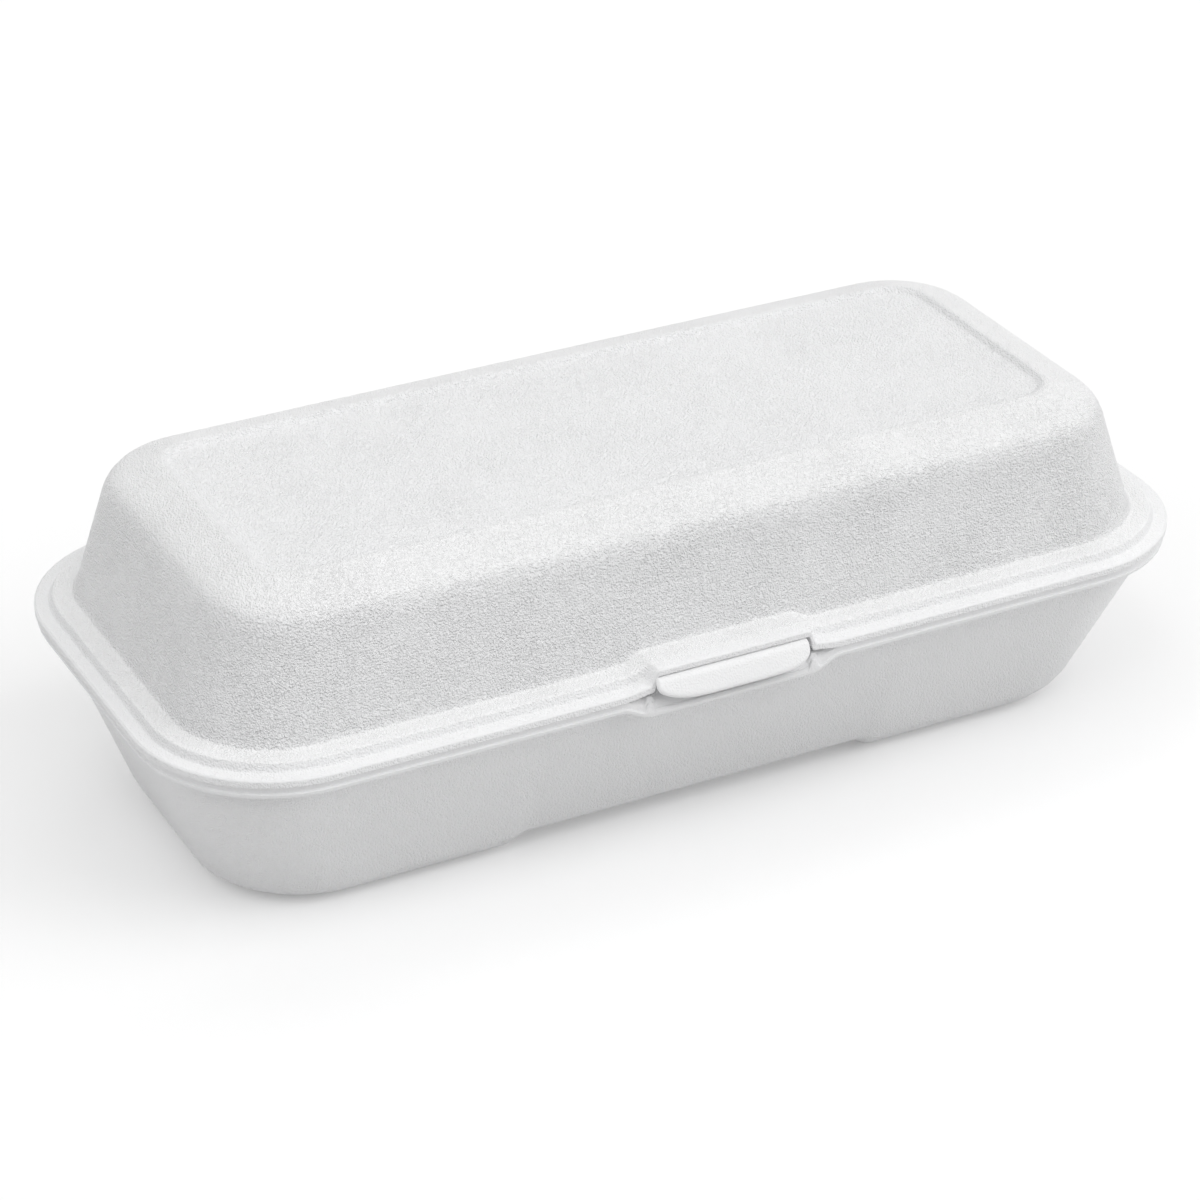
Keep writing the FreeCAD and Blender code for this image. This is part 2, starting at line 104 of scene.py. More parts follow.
def softened(corners, steps=5):
    # a polyline of (inset, height, radius) with each corner turned into an arc
    line = []
    for index, (inset, height, radius) in enumerate(corners):
        here = Vector((inset, height))
        if radius == 0 or index in (0, len(corners) - 1):
            line.append(here)
            continue
        toBefore = Vector(corners[index - 1][:2]) - here
        toAfter = Vector(corners[index + 1][:2]) - here
        half = toBefore.angle(toAfter) / 2
        most = roundShare * min(toBefore.length, toAfter.length)
        reach = min(radius / math.tan(half), most)
        middle = (toBefore.normalized() + toAfter.normalized()).normalized()
        centre = here + middle * (reach / math.cos(half))
        spoke = here + toBefore.normalized() * reach - centre
        last = here + toAfter.normalized() * reach - centre
        span = spoke.angle_signed(last)
        for step in range(steps + 1):
            line.append(centre + Matrix.Rotation(-span * step / steps, 2) @ spoke)
    return line


def thickened(corners, depth):
    # the same polyline moved by a depth towards the inside of the foam
    moved = []
    for index, (inset, height, radius) in enumerate(corners):
        here = Vector((inset, height))
        sides = []
        if index > 0:
            sides.append((here - Vector(corners[index - 1][:2])).normalized())
        if index < len(corners) - 1:
            sides.append((Vector(corners[index + 1][:2]) - here).normalized())
        normals = [Vector((side.y, -side.x)) for side in sides]
        middle = sum(normals, Vector((0, 0))).normalized()
        place = here + middle * (depth / middle.dot(normals[0]))
        moved.append((place.x, place.y, radius))
    return moved


# Columns around the rim: fine beside the latch and at the feet, coarse elsewhere

columns = {
    "zone": 0.050,    # half length of the part of the long sides with fixed places
    # how far apart they are, up to a distance from the middle
    "steps": [
        (0.0150, 0.0018), (0.0160, 0.0004), (0.0202, 0.00022), (0.0252, 0.0004),
        (0.0390, 0.0018), (0.0480, 0.0009), (0.0500, 0.0018),
    ],
    "shiftFull": 0.030, "shiftNone": 0.040,  # places that move with the latch
    "far": 9,         # columns beyond the zone, to each corner
    "corner": 14,     # columns in a corner
    "side": 14,       # columns along an end
}


def zonePlaces():
    places, x = [], 0.0
    while x < columns["zone"]:
        places.append(x)
        x += next(step for end, step in columns["steps"] if x < end)
    spread = [-place for place in reversed(places[1:])] + places
    full, none = columns["shiftFull"], columns["shiftNone"]
    return [place + latch["centre"] * hat(place, full, none) for place in spread]


zone = zonePlaces()


def longSide(half):
    # x of each column of a long side, left to right
    edge = columns["zone"]
    beyond = [edge + (half - edge) * step / columns["far"] for step in range(columns["far"] + 1)]
    return [-place for place in reversed(beyond)] + zone + beyond


def ringAround(endInset, sideInset, radius, endHeight, sideHeight):
    # one closed row of points around the container, starting at the front left
    a = rim["halfLength"] - endInset - radius
    b = rim["halfWidth"] - sideInset - radius
    front = [(x, -b - radius, sideHeight) for x in longSide(a)]
    back = [(-x, b + radius, sideHeight) for x, _, _ in front]
    steps = columns["side"]
    right = [(a + radius, -b + 2 * b * step / steps, endHeight) for step in range(1, steps)]
    left = [(-x, -y, height) for x, y, height in right]

    def corner(cx, cy, start):
        turned = []
        for step in range(columns["corner"] + 1):
            share = step / columns["corner"]
            angle = math.radians(start + 90 * share)
            fromSide = share if start in (-90, 90) else 1 - share
            height = sideHeight + (endHeight - sideHeight) * fromSide
            turned.append((cx + radius * math.cos(angle), cy + radius * math.sin(angle), height))
        return turned

    ring = front[:-1] + corner(a, -b, -90) + right + corner(a, b, 0)
    return ring + back[1:-1] + corner(-a, b, 90) + left + corner(-a, -b, 180)[:-1]


def bowed(point):
    x, y, z = point
    share = max(1 - (x / rim["halfLength"]) ** 2, 0.0)
    return Vector((x, y + math.copysign(rim["bow"] * share * abs(y) / rim["halfWidth"], y), z))


def shellFromRings(name, rings, shape):
    # rings joined into one closed skin; the first and last ring are filled with strips across
    count = len(rings[0])
    frontCount = len(longSide(1))
    cornerCount = columns["corner"]
    points = [bowed(shape(point, row)) for row, ring in enumerate(rings) for point in ring]
    faces = []
    for row in range(len(rings) - 1):
        for column in range(count):
            after = (column + 1) % count
            low, high = row * count, (row + 1) * count
            faces.append((low + column, low + after, high + after, high + column))
    backStart = frontCount - 1 + cornerCount + columns["side"] + cornerCount
    for row, turn in ((0, -1), (len(rings) - 1, 1)):
        first = row * count
        strips = []
        for column in range(frontCount - 1):
            far = backStart + frontCount - 1 - column
            strips.append((first + column, first + column + 1, first + far - 1, first + far))
        strips.append([first + column for column in range(frontCount - 1, backStart + 1)])
        strips.append([first + column % count for column in range(backStart + frontCount - 1, count + 1)])
        faces += [tuple(strip)[::turn] for strip in strips]
    return meshPiece(name, points, faces)


def paintSkin(piece, rings, kind):
    # how strong the grain is, and how much painted light whitens the foam, point by point
    kinds = [kind(row, point) for row, ring in enumerate(rings) for point in ring]
    for label, place in (("grain", 0), ("white", 1)):
        layer = piece.data.attributes.new(label, "FLOAT", "POINT")
        layer.data.foreach_set("value", [pair[place] for pair in kinds])


def meshPiece(name, points, faces):
    mesh = bpy.data.meshes.new(name)
    mesh.from_pydata([tuple(point) for point in points], [], faces)
    mesh.validate()
    mesh.update()
    piece = bpy.data.objects.new(name, mesh)
    bpy.context.scene.collection.objects.link(piece)
    for face in mesh.polygons:
        face.use_smooth = True
    return piece


# Lid: a dome with a recessed panel on a stepped lip

lidShape = {
    "stepFoot": 0.0034, "stepTop": 0.0041, "ledge": 0.0469,
    "domeFoot": 0.0089, "leanSide": 0.1564, "leanEnd": 0.303,
    "crownSide": 0.0250, "crownEnd": 0.0283, "crownSlope": 0.31,
    "wall": 0.0019,         # thickness of the foam
    "crownEdge": 0.0010, "panelDepth": 0.0010, "panelSlope": 0.0012, "panelStart": 0.0060,
    "recess": 0.0053, "recessTop": 0.0451, "recessLean": 0.0003, "lipInside": 0.0052,
    # radii, from the dome's foot to the panel, then those of the lip
    "footRound": 0.0018, "shoulderRound": 0.0080, "crownRound": 0.0024,
    "edgeRound": 0.0008, "panelRound": 0.0010,
    "ledgeRound": 0.0006, "recessRound": 0.0014, "recessMouth": 0.0005,
    "lipFoot": 0.00022, "lipHead": 0.00040,
    "insideLess": 0.0008,   # radii inside the dome are this much smaller
    "lipMiddle": 0.0441,    # height of the lip's face
    "crownBand": 0.0050,    # the crown lies this close under the top
    "crownRim": 0.0008, "close": 0.0002, "near": 0.0003,
    # strength of the grain, and the share of painted light that whitens the foam where light falls
    "inside": (0.45, 0.0), "lipFace": (0.05, 0.1), "lipTop": (0.35, 0.2), "riser": (0.50, 0.0),
    "shelf": (0.60, 0.6), "crown": (0.85, 0.45), "top": (0.75, 0.0), "dome": (1.0, 0.0),
    "hoodPaintedLight": 0.5,
}


def lidCorners(lean, crownInset, top):
    # the dome's outline from its foot to the panel, as a cut square to one side
    s = lidShape
    # the wall and the sloping band above it meet at this corner
    rise = top - s["ledge"] - s["crownSlope"] * (crownInset - s["domeFoot"])
    meet = s["domeFoot"] + lean * rise / (1 - lean * s["crownSlope"])
    meetHeight = top - s["crownSlope"] * (crownInset - meet)
    return [
        (s["domeFoot"], s["ledge"], s["footRound"]),
        (meet, meetHeight, s["shoulderRound"]),
        (crownInset, top, s["crownRound"]),
        (crownInset + s["crownEdge"], top, s["edgeRound"]),
        (crownInset + s["crownEdge"] + s["panelSlope"], top - s["panelDepth"], s["panelRound"]),
        (crownInset + s["panelStart"], top - s["panelDepth"], 0),
    ]


def lidProfile(lean, crownInset):
    s = lidShape
    dome = lidCorners(lean, crownInset, lidHigh[2])
    least = s["ledgeRound"]
    ledgeStart = (s["stepTop"], s["ledge"], least)
    inner = thickened([ledgeStart] + dome, s["wall"])[1:]
    inner = [(inset, height, max(radius - s["insideLess"], least)) for inset, height, radius in inner]
    inner[0] = (inner[0][0], s["recessTop"], s["recessRound"])
    under = [
        (s["recess"] + s["recessLean"], s["recessTop"], least),
        (s["recess"], rim["lidUnder"], s["recessMouth"]),
    ]
    lip = [
        (0, rim["lidUnder"], s["lipFoot"]),
        (0, rim["top"], s["lipHead"]),
        (s["stepFoot"], rim["top"], least),
    ]
    return softened(inner[::-1] + under + lip + [ledgeStart] + dome)


sideProfile = lidProfile(lidShape["leanSide"], lidShape["crownSide"])
endProfile = lidProfile(lidShape["leanEnd"], lidShape["crownEnd"])


def awayFromLip(row):
    # smallest for the row in the middle of the lip's face; the inset counts most
    inset, height = sideProfile[row]
    return inset * 1000 + abs(height - lidShape["lipMiddle"])


lipRow = min(range(len(sideProfile)), key=awayFromLip)
# radius of the corners by inset
lidCornerRadii = [
    (0, rim["corner"]), (0.0089, 0.0226), (0.0128, 0.0205), (0.0255, 0.0085), (0.0330, 0.0040),
]


def lipDepth(inset, z, outside):
    # 0 at the top of the lip, 1 at its underside and everywhere inside
    if inset < latch["backStart"]:
        return min(max((rim["top"] - z) / (rim["top"] - rim["lidUnder"]), 0.0), 1.0)
    return 0.0 if outside else 1.0


def hoodShare(along, inset, depth):
    # how much of the hood's rise a point takes part in
    full = latch["hoodFull"] + (latch["openingFull"] - latch["hoodFull"]) * depth
    none = latch["hoodNone"] + (latch["openingNone"] - latch["hoodNone"]) * depth
    gentle = latch["flareShare"] * hat(along, latch["flareFull"], latch["flareNone"])
    atLip = gentle + (1 - gentle) * hat(along, full, none)
    atDome = hat(along, latch["shelfFull"], latch["shelfNone"])
    return atLip + (atDome - atLip) * smooth(latch["backStart"], latch["backEnd"], inset)


def lidForm(point, row):
    # raises the rim into the hood over the latch, on the front side only
    x, y, z = point
    along = x - latch["centre"]
    if y > 0 or abs(along) > latch["flareNone"]:
        return point
    inset = sideProfile[row].x
    top, ledge, recessTop = latch["hoodTop"], lidShape["ledge"], lidShape["recessTop"]
    under = top - latch["hoodThick"]
    outside = row > lipRow
    share = hoodShare(along, inset, lipDepth(inset, z, outside))
    if z <= rim["top"] + hair and inset < lidShape["lipInside"]:
        lifted = top - (rim["top"] - z) * latch["hoodThick"] / (rim["top"] - rim["lidUnder"])
        z = z + share * (lifted - z)
    elif outside and z <= ledge:
        z = z + share * (top - z)
    elif not outside and z <= recessTop + hair:
        z = z + share * (under - z)
    elif z < latch["domeFade"]:
        lift = top - ledge if outside else under - recessTop
        rise = lift * (1 - smooth(ledge, latch["domeFade"], z)) * share
        z, y = z + rise, y + lidShape["leanSide"] * rise
    return x, y, z


def lidKind(row, point):
    # (grain, painted light) of one point of the lid
    s, (inset, height) = lidShape, sideProfile[row]
    close, near = s["close"], s["near"]
    if row <= lipRow:
        return s["inside"]
    if inset < near:
        return s["lipFace"]
    if inset < s["stepFoot"] - close and height < rim["top"] + near:
        return s["lipTop"]
    if inset < s["stepTop"] + close and height < s["ledge"] - close:
        # over the latch the riser turns into the hood's flat top, which takes painted light like the shelf
        inHood = point[1] < 0
        hood = hat(point[0] - latch["centre"], latch["shelfFull"], latch["shelfNone"]) if inHood else 0.0
        return s["riser"][0], s["hoodPaintedLight"] * hood
    if height < s["ledge"] + near:
        return s["shelf"]
    if height <= lidHigh[2] - s["crownBand"]:
        return s["dome"]
    return s["crown"] if inset < s["crownSide"] + s["crownRim"] else s["top"]


lidRings = []
for side, end in zip(sideProfile, endProfile):
    radius = between(lidCornerRadii, side.x)
    lidRings.append(ringAround(end.x, side.x, radius, end.y, side.y))
lidSkin = shellFromRings("lidSkin", lidRings, lidForm)
paintSkin(lidSkin, lidRings, lidKind)
print("lid made")


# Base: a bowl on two feet, with a flange, a bead that locates the lid and a dip at the latch

baseShape = {
    "setback": 0.0004, "top": 0.0430, "under": 0.0405,
    "groove": 0.0009, "grooveFloor": 0.0416,  # hollow line along the flange's edge
    "beadFoot": 0.0056, "beadTop": 0.0445, "beadInside": 0.0076,
    "wallTop": 0.0039, "footSide": 0.0200, "footEnd": 0.0174, "footRound": 0.0105,
    "footFlat": 0.0140,     # width of the flat part of the bottom's edge
    "edgeStep": 0.0001, "edgeLean": 0.0003, "flangeFlat": 0.0009,
    # radii, from the bowl's inside out over the flange
    "bandRound": 0.0030, "beadRound": 0.0007, "beadFootRound": 0.0006, "grooveRound": 0.0003,
    "edgeTopRound": 0.00018, "edgeFootRound": 0.00025, "underRound": 0.0010,
    "wall": 0.0020, "band": 0.0367,
    "arch": 0.0032, "archFull": 0.0408, "archNone": 0.0464, "archFade": 0.012,
    # where the wall follows the dip, and how
    "dipTop": 0.0396, "dipHead": 0.0400, "dipFoot": 0.026, "dipLean": 0.40, "dipInset": 0.0046,
    "close": 0.0002,
    "edgeInset": 0.0030, "edgeGrain": 0.3,
}


def baseProfile(foot):
    s = baseShape
    lean = (foot - s["wallTop"]) / s["under"]
    shift = s["wall"] * math.hypot(1, lean)
    floorInset = foot + shift - lean * s["wall"]
    return softened([
        (foot + s["footFlat"], s["wall"], 0),
        (floorInset, s["wall"], s["footRound"] - s["wall"]),
        (s["wallTop"] + lean * (s["under"] - s["band"]) + shift, s["band"], s["bandRound"]),
        (s["beadInside"], s["beadTop"], s["beadRound"]),
        (s["beadFoot"] + s["edgeStep"], s["beadTop"], s["beadRound"]),
        (s["beadFoot"], s["top"], s["beadFootRound"]),
        ((s["groove"] + s["beadFoot"]) / 2, s["top"], 0),
        (s["groove"] + s["flangeFlat"], s["top"], 0),
        (s["groove"], s["top"], s["grooveRound"]),
        (s["groove"], s["grooveFloor"] + s["edgeStep"], s["grooveRound"]),
        (s["setback"], s["grooveFloor"] - s["edgeStep"], s["edgeTopRound"]),
        (s["setback"] + s["edgeLean"], s["under"], s["edgeFootRound"]),
        (s["wallTop"], s["under"], s["underRound"]),
        (foot, 0, s["footRound"]),
        (foot + s["footFlat"], 0, 0),
    ])


baseSide = baseProfile(baseShape["footSide"])
baseEnd = baseProfile(baseShape["footEnd"])


def awayFromEdge(row):
    # smallest for the lowest row of the flange's edge; the height counts least
    inset, height = baseSide[row]
    return inset + abs(height - baseShape["under"]) * 0.1


outerRow = min(range(len(baseSide)), key=awayFromEdge)
baseCornerRadii = [
    (0, rim["corner"]), (0.0039, 0.0276), (0.0046, 0.0240), (0.0200, 0.0240), (0.0340, 0.0100),
]
insideCornerRadii = [(0, rim["corner"]), (0.0076, 0.0239), (0.0198, 0.0220), (0.0340, 0.0100)]


def flangeAtLatch(inset, z, along, dip):
    # a scoop in the flange's edge, with a ramp in its middle and a ridge at each end of the ramp
    s = baseShape
    post = hat(abs(along) - latch["post"], latch["postFull"], latch["postNone"])
    atEdge = 1 - smooth(latch["scoopFull"], latch["scoopNone"], inset)
    belowBead = 1 - smooth(s["top"], s["beadTop"], z)
    scooped = z - dip * (1 - post) * atEdge * belowBead
    if z <= s["grooveFloor"] - 5 * hair:
        return scooped
    rise = latch["rampSlope"] * max(inset - latch["rampFoot"], 0.0)
    ramp = min(latch["rampLow"] + rise, s["beadTop"])
    ramp -= latch["rampDrop"] if z < s["grooveFloor"] + s["close"] else 0.0
    return scooped + hat(along, latch["rampFull"], latch["rampNone"]) * max(ramp - scooped, 0.0)


def baseForm(point, row):
    x, y, z = point
    s, inset = baseShape, baseSide[row].x
    outside = row > outerRow
    # the bottom rises between the two feet
    level = z if outside else z - s["wall"]
    if level < s["archFade"]:
        lift = s["arch"] * hat(x, s["archFull"], s["archNone"])
        z += lift * max(1 - level / s["archFade"], 0.0) ** 2
    along = x - latch["centre"]
    if y > 0 or abs(along) > latch["dipNone"]:
        return x, y, z
    dip = latch["dip"] * hat(along, latch["dipFull"], latch["dipNone"])
    if not outside and inset <= s["beadFoot"] + s["close"]:
        z = flangeAtLatch(inset, z, along, dip)
    elif inset < s["dipInset"] and z > s["dipTop"]:
        z -= dip
        if inset > s["edgeInset"]:
            y += s["dipLean"] * dip * smooth(s["edgeInset"], s["wallTop"], inset)
    elif outside and z > s["dipFoot"]:
        fall = dip * smooth(s["dipFoot"], s["dipHead"], z)
        z, y = z - fall, y + s["dipLean"] * fall
    return x, y, z


def baseKind(row, point):
    # (grain, white) of one row of the base: the flange's edge is smoother
    return (baseShape["edgeGrain"] if baseSide[row].x < baseShape["edgeInset"] else 1.0), 0.0


baseRings = []
for row, (side, end) in enumerate(zip(baseSide, baseEnd)):
    radius = between(baseCornerRadii if row > outerRow else insideCornerRadii, side.x)
    baseRings.append(ringAround(end.x, side.x, radius, end.y, side.y))
baseSkin = shellFromRings("baseSkin", baseRings, baseForm)
paintSkin(baseSkin, baseRings, baseKind)
print("base made")


# Tongue: springs from the bead and slopes out under the hood

tongue = {
    "left": -0.0203, "right": 0.0163,
    "rootInset": 0.0066, "rootTop": 0.0446, "rootFlat": 0.0012, "rootRise": 0.0002, "rootRound": 0.0015,
    "kneeInset": -0.0005, "kneeTop": 0.0479, "kneeRound": 0.0009,
    "tip": -baseLow[1] + 0.0009, "tipTop": 0.0430, "tipDrop": 0.6, "thick": 0.0016,
    "sag": 0.0008,          # the tip hangs lower in the middle than at its ends
    "cornerLeft": 0.0100, "cornerRight": 0.0056, "depthLeft": 0.0032, "depthRight": 0.0034,
    "end": 0.0007, "endThin": 0.03,
    "steps": 22,            # along the tongue
    "lipSteps": 6,          # round its lip
    # places of the cuts from each end, in millimetres
    "cuts": [
        0, 0.02, 0.06, 0.12, 0.2, 0.3, 0.42, 0.56, 0.72, 0.9,
        1.2, 1.6, 2.1, 2.8, 3.6, 4.6, 5.8, 7.2, 9, 12,
    ],
}


def tongueLine(share):
    # middle line of the tongue, from the bead over the knee to the tip
    t, edge = tongue, rim["halfWidth"]
    low = t["thick"] / 2
    tipTop = t["tipTop"] + t["sag"] * share ** 2
    return softened([
        (edge - t["rootInset"], t["rootTop"] - low, 0),
        (edge - t["rootInset"] + t["rootFlat"], t["rootTop"] - low + t["rootRise"], t["rootRound"]),
        (edge - t["kneeInset"], t["kneeTop"] - low, t["kneeRound"]),
        (t["tip"] - low, tipTop - low * t["tipDrop"], 0),
    ], t["lipSteps"])


def tongueSection(x):
    # outline of one cut across the tongue: along the top, round the lip and back below
    t = tongue
    fromLeft, fromRight = x - t["left"], t["right"] - x
    turned = min(fromLeft / t["cornerLeft"], fromRight / t["cornerRight"], 1.0)
    depth = t["depthLeft"] if fromLeft < fromRight else t["depthRight"]
    cut = depth * (1 - math.sqrt(max(1 - (1 - turned) ** 2, 0.0)))
    fromEnd = max(min(fromLeft, fromRight), 0.0)
    closing = 1 - min(fromEnd / t["end"], 1.0)
    half = t["thick"] / 2 * math.sqrt(max(1 - closing ** 2, t["endThin"]))
    line = tongueLine((fromLeft - fromRight) / (t["right"] - t["left"]))
    lengths = [0.0]
    for before, after in zip(line, line[1:]):
        lengths.append(lengths[-1] + (after - before).length)
    reach = lengths[-1] - cut
    upper, lower = [], []
    for step in range(t["steps"] + 1):
        here = reach * step / t["steps"]
        segment = max(index for index in range(len(line) - 1) if lengths[index] <= here)
        way = (line[segment + 1] - line[segment]).normalized()
        place = line[segment] + way * (here - lengths[segment])
        across = Vector((-way.y, way.x)) * half
        upper.append(place + across)
        lower.append(place - across)
    lip = []
    for step in range(1, t["lipSteps"]):
        angle = math.pi * step / t["lipSteps"]
        lip.append(place + across * math.cos(angle) + way * half * math.sin(angle))
    return [(x, -flat.x, flat.y) for flat in upper + lip + lower[::-1]]


def tubeFromSections(name, sections):
    count = len(sections[0])
    points = [point for section in sections for point in section]
    faces = []
    for index in range(len(sections) - 1):
        for place in range(count):
            after = (place + 1) % count
            near, far = index * count, (index + 1) * count
            faces.append((near + place, far + place, far + after, near + after))
    faces.append(tuple(range(count)))
    faces.append(tuple(range(len(points) - 1, len(points) - count - 1, -1)))
    return meshPiece(name, points, faces)


tongueXs = [tongue["left"] + cut * 0.001 for cut in tongue["cuts"]]
tongueXs += [tongue["right"] - cut * 0.001 for cut in reversed(tongue["cuts"])]
tongueSkin = tubeFromSections("tongueSkin", [tongueSection(x) for x in tongueXs])
tongueSkin.data.flip_normals()
print("tongue made")


# Living hinge: a thin creased strip that joins the two lips at the back

hinge = {
    "halfLength": hingeHigh[0], "film": 0.0006, "lap": 0.0012,
    "creases": [(0.00012, 1900, 0), (0.00008, 4700, 1)],  # depth, turns and start of each wave along it
    "steps": 12,            # round the fold
    "cuts": 110,            # from the middle to each end
}


def hingeSection(x):
    # a half-round fold from the base's lip up to the lid's lip, with both ends lapped into the lips
    middle = (hingeLow[2] + hingeHigh[2]) / 2
    radius = (hingeHigh[2] - hingeLow[2] - hinge["film"]) / 2
    centre = rim["halfWidth"] + rim["bow"] * max(1 - (x / rim["halfLength"]) ** 2, 0.0)
    fold = sum(depth * math.sin(x * turns + start) for depth, turns, start in hinge["creases"])
    outer, inner = [], []
    for step in range(hinge["steps"] + 1):
        angle = -math.pi / 2 + math.pi * step / hinge["steps"]
        bulge = fold * math.cos(angle) ** 2
        for line, offset in ((outer, hinge["film"] / 2), (inner, -hinge["film"] / 2)):
            reach = radius + offset + bulge
            line.append((x, centre + reach * math.cos(angle), middle + (radius + offset) * math.sin(angle)))
    for line, offset in ((outer, hinge["film"] / 2), (inner, -hinge["film"] / 2)):
        low, high = line[0], line[-1]
        line.insert(0, (x, centre - hinge["lap"], low[2]))
        line.append((x, centre - hinge["lap"], high[2]))
    return outer + inner[::-1]


hingeXs = [hinge["halfLength"] * (-1 + step / hinge["cuts"]) for step in range(2 * hinge["cuts"] + 1)]
hingeSkin = tubeFromSections("hingeSkin", [hingeSection(x) for x in hingeXs])
print("hinge made")


# Materials

class Wire:
    # a shader value; writing sums with it adds the Math nodes
    def __init__(self, paint, socket):
        self.paint, self.socket = paint, socket

    def __add__(self, other):
        return self.paint.maths("ADD", self, other)

    def __radd__(self, other):
        return self.paint.maths("ADD", other, self)

    def __sub__(self, other):
        return self.paint.maths("SUBTRACT", self, other)

    def __rsub__(self, other):
        return self.paint.maths("SUBTRACT", other, self)

    def __mul__(self, other):
        return self.paint.maths("MULTIPLY", self, other)

    def __rmul__(self, other):
        return self.paint.maths("MULTIPLY", other, self)


class Paint:
    # the nodes of one material or world
    def __init__(self, holder):
        holder.use_nodes = True
        self.holder, self.tree = holder, holder.node_tree
        self.tree.nodes.clear()

    def node(self, kind, settings=None, inputs=None, output=0):
        made = self.tree.nodes.new(kind)
        for key, value in (settings or {}).items():
            setattr(made, key, value)
        for key, value in (inputs or {}).items():
            if isinstance(value, Wire):
                self.tree.links.new(value.socket, made.inputs[key])
            else:
                made.inputs[key].default_value = value
        return Wire(self, made.outputs[output]) if made.outputs else made

    def maths(self, operation, first, second):
        return self.node("ShaderNodeMath", {"operation": operation}, {0: first, 1: second})

    def mixColour(self, factor, first, second):
        # sockets 6 and 7 of a Mix node are its two colours, and output 2 is the mixed one
        return self.node("ShaderNodeMix", {"data_type": "RGBA"}, {0: factor, 6: first, 7: second}, 2)

    def plainRays(self):
        # 1 for rays that are seen straight, mirrored or through something
        seen, mirrored, through = [
            self.node("ShaderNodeLightPath", output=f"Is {kind} Ray")
            for kind in ("Camera", "Glossy", "Transmission")
        ]
        clamped = {"operation": "ADD", "use_clamp": True}
        return self.node("ShaderNodeMath", clamped, {0: seen + mirrored, 1: through})


foam = {
    "light": (0.855, 0.856, 0.863, 1), "shade": (0.825, 0.826, 0.833, 1),
    "paintedLight": (0.93, 0.93, 0.932, 1),  # painted light: the rim, shelf and crown are painted whiter where light falls on them
    "cells": 2500.0, "cellDepth": 0.00062,  # foam cells per metre
    "patches": 60.0, "waves": 22.0,         # slow unevenness, per metre
    "fewest": 0.6, "more": 0.8,             # how strongly patches change the grain
    "waveShare": 0.4, "roughness": 0.45, "roughChange": 0.15, "ior": 1.45,
    "subsurface": 0.15, "subsurfaceReach": 0.0015,
}


def foamPaint(name, grainShare, plain=None):
    # white foam with a fine pebbled skin and painted light that whitens it; without a plain value the
    # skin's own attributes say where
    paint = Paint(bpy.data.materials.new(name))
    place = paint.node("ShaderNodeTexCoord", output="Object")

    def noise(scale, detail):
        return paint.node("ShaderNodeTexNoise", {}, {"Vector": place, "Scale": scale, "Detail": detail})

    cells = noise(foam["cells"], 0.0)
    patches = noise(foam["patches"], 3.0)
    waves = noise(foam["waves"], 1.0)
    grain, white = grainShare, plain
    if plain is None:
        grain = grainShare * paint.node("ShaderNodeAttribute", {"attribute_name": "grain"}, output="Fac")
        white = paint.node("ShaderNodeAttribute", {"attribute_name": "white"}, output="Fac")
    colour = paint.mixColour(patches * 0.5 + cells * 0.5, foam["shade"], foam["light"])
    # painted light: the white share mixes in a whiter colour where light falls
    colour = paint.mixColour(white, colour, foam["paintedLight"])
    height = cells * ((foam["fewest"] + foam["more"] * patches) * grain) + foam["waveShare"] * waves
    bump = paint.node("ShaderNodeBump", {}, {
        "Strength": 1.0, "Distance": foam["cellDepth"], "Height": height,
    }, "Normal")
    skin = paint.node("ShaderNodeBsdfPrincipled", {}, {
        "Base Color": colour, "Normal": bump, "IOR": foam["ior"],
        "Roughness": foam["roughness"] + (cells - 0.5) * foam["roughChange"],
        "Subsurface Weight": foam["subsurface"], "Subsurface Scale": foam["subsurfaceReach"],
        "Subsurface Radius": (1.0, 1.0, 1.0),
    }, "BSDF")
    paint.node("ShaderNodeOutputMaterial", {}, {"Surface": skin})
    return paint.holder


def finishPiece(piece, body, material, slot, *nodes):
    piece.data.materials.append(material)
    if nodes:
        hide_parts(*nodes)
    if body:
        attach(piece, body)


lidFoam = foamPaint("lidFoam", 1.0)
baseFoam = foamPaint("baseFoam", 0.45)
# the tongue is painted a little whiter all over, as painted light
tongueFoam = foamPaint("tongueFoam", 0.20, 0.3)
hingeFoam = foamPaint("hingeFoam", 0.35, 0.0)
finishPiece(lidSkin, "lid", lidFoam, "foam_lid", "lid")
finishPiece(baseSkin, "base", baseFoam, "foam_base", "base")
finishPiece(tongueSkin, "base", tongueFoam, "foam_base")
finishPiece(hingeSkin, None, hingeFoam, "foam_hinge", "hinge_strip")
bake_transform(hingeSkin)
print("foam painted")


# Floor, light and camera

studio = {
    "floorHalf": 4.0, "floorColour": (0.98, 0.98, 0.98, 1),
    "bounceColour": (0.74, 0.74, 0.74, 1),  # what the floor gives back to the object
    "paper": 0.25,          # share of the floor that shows as plain white
    "sky": 0.25,
    "white": (1, 1, 1, 1),
}
# A turn of 0 shines from the front, 90 from the right.
# The level is what reaches a surface that faces the lamp.
lamps = {
    "leftBox": {"turn": -80, "rise": 50, "level": 0.28, "angle": 60},
    "frontBox": {"turn": 5, "rise": 56, "level": 0.175, "angle": 55},
    "overhead": {"turn": 0, "rise": 88, "level": 0.11, "angle": 70},
    "overheadBack": {"turn": 180, "rise": 60, "level": 0.09, "angle": 45},
    "rightBox": {"turn": 54, "rise": 33, "level": 0.35, "angle": 45},
    "rearBox": {"turn": 125, "rise": 40, "level": 0.09, "angle": 45},
}

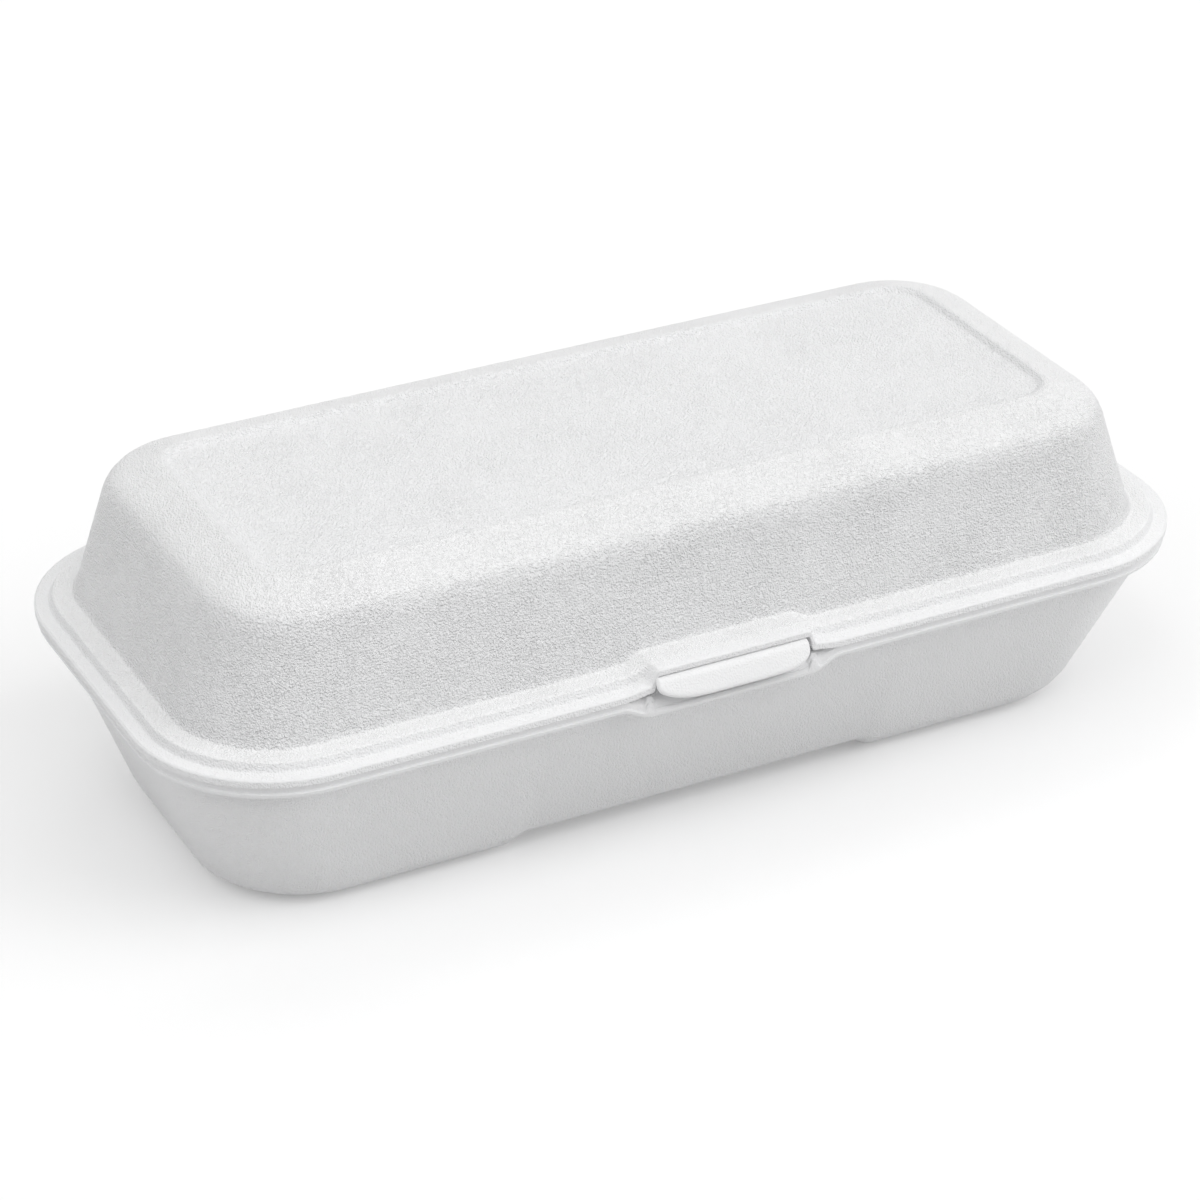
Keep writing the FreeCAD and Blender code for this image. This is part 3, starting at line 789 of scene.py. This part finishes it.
half = studio["floorHalf"]
floorCorners = [(-half, -half, 0), (half, -half, 0), (half, half, 0), (-half, half, 0)]
floor = meshPiece("floor", floorCorners, [(0, 1, 2, 3)])
floorPaint = Paint(bpy.data.materials.new("studioFloor"))
bounce = floorPaint.node("ShaderNodeBsdfDiffuse", {}, {"Color": studio["bounceColour"]}, "BSDF")
matte = floorPaint.node("ShaderNodeBsdfDiffuse", {}, {"Color": studio["floorColour"]}, "BSDF")
plain = floorPaint.node("ShaderNodeEmission", {}, {"Strength": 1.0}, "Emission")
white = floorPaint.node("ShaderNodeMixShader", {}, {0: studio["paper"], 1: matte, 2: plain})
shown = floorPaint.node("ShaderNodeMixShader", {}, {0: floorPaint.plainRays(), 1: bounce, 2: white})
floorPaint.node("ShaderNodeOutputMaterial", {}, {"Surface": shown})
floor.data.materials.append(floorPaint.holder)

skyPaint = Paint(bpy.data.worlds.new("studioSky"))
bpy.context.scene.world = skyPaint.holder
lighting = skyPaint.node("ShaderNodeBackground", {}, {
    "Color": studio["white"], "Strength": studio["sky"],
}, "Background")
backdrop = skyPaint.node("ShaderNodeBackground", {}, {
    "Color": studio["white"], "Strength": 1.0,
}, "Background")
skyShown = skyPaint.node("ShaderNodeMixShader", {}, {0: skyPaint.plainRays(), 1: lighting, 2: backdrop})
skyPaint.node("ShaderNodeOutputWorld", {}, {"Surface": skyShown})

for name, lamp in lamps.items():
    lampTurn, lampRise = math.radians(lamp["turn"]), math.radians(lamp["rise"])
    level = math.cos(lampRise)
    towards = Vector((math.sin(lampTurn) * level, -math.cos(lampTurn) * level, math.sin(lampRise)))
    lampData = bpy.data.lights.new(name, "SUN")
    lampData.energy = lamp["level"] * math.pi
    lampData.angle = math.radians(lamp["angle"])
    piece = bpy.data.objects.new(name, lampData)
    bpy.context.scene.collection.objects.link(piece)
    piece.rotation_euler = towards.to_track_quat("Z", "Y").to_euler()

shot = {
    "azimuth": -27.48, "elevation": 29.14, "distance": 0.8403,
    "aim": (0, 0, 0.04133), "right": -0.00266, "up": -0.00803,
    "focal": 3774, "frame": 1200,  # focal length and frame in pixels
    "sensor": 36,
}
turn, tilt = math.radians(shot["azimuth"]), math.radians(shot["elevation"])
away = Vector((math.sin(turn) * math.cos(tilt), -math.cos(turn) * math.cos(tilt), math.sin(tilt)))
across = Vector((math.cos(turn), math.sin(turn), 0))
upward = away.cross(across)
cameraData = bpy.data.cameras.new("camera")
cameraData.lens = shot["focal"] / shot["frame"] * shot["sensor"]
cameraData.sensor_width = shot["sensor"]
camera = bpy.data.objects.new("camera", cameraData)
bpy.context.scene.collection.objects.link(camera)
camera.matrix_world = Matrix.Translation(
    Vector(shot["aim"]) + away * shot["distance"] + across * shot["right"] + upward * shot["up"]
) @ Matrix((across, upward, away)).transposed().to_4x4()
bpy.context.scene.camera = camera
bpy.context.scene.view_settings.view_transform = "Standard"
print("studio set")

bpy.context.view_layer.update()
